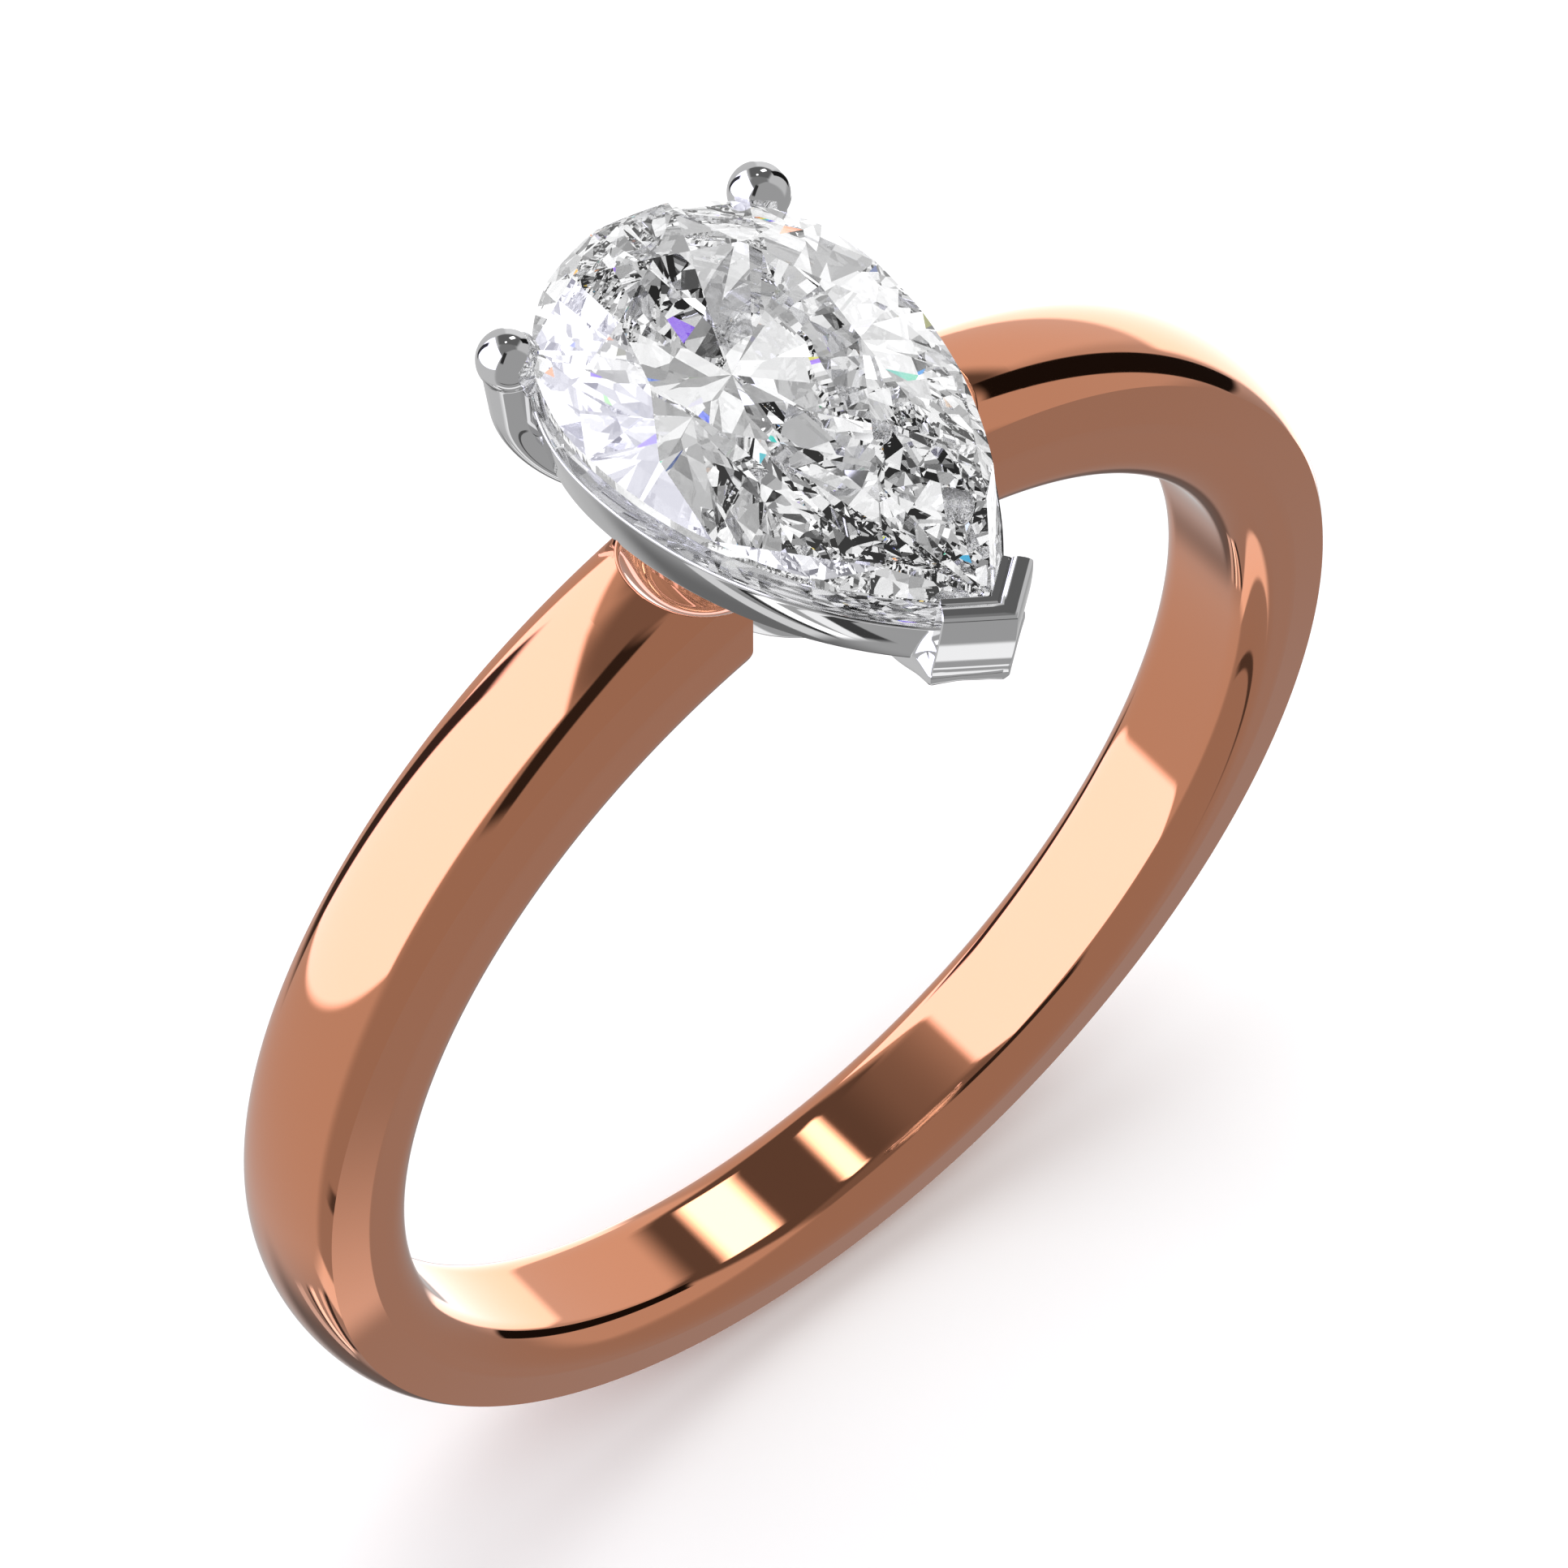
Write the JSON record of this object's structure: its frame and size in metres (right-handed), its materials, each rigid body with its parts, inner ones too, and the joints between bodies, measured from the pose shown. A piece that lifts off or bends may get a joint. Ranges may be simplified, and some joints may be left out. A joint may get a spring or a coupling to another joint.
{
  "type": "engagement ring",
  "caption": "Solitaire finger ring: domed band, round-based head with claw and V prongs, and a pear-cut stone with its point along the finger.",
  "frame": {"origin": "middle of the finger hole, on its axis, halfway across the band", "axes": "+Y along the finger hole, towards the stone's round end; +Z from the finger hole to the stone; +X across the ring, so the stone's point is at -Y"},
  "size_m": [0.0202, 0.0092, 0.0218],
  "materials": {
    "rose_gold": "polished 14 ct rose gold",
    "white_gold": "polished rhodium-plated white gold",
    "diamond": "clear faceted diamond, polished"
  },
  "bodies": {
    "root": {"shank": "rose_gold", "collar": "white_gold", "gallery_rail": "white_gold", "claw_prong_left": "white_gold", "claw_prong_right": "white_gold", "v_prong": "white_gold", "pear_diamond": "diamond"}
  },
  "joints": []
}
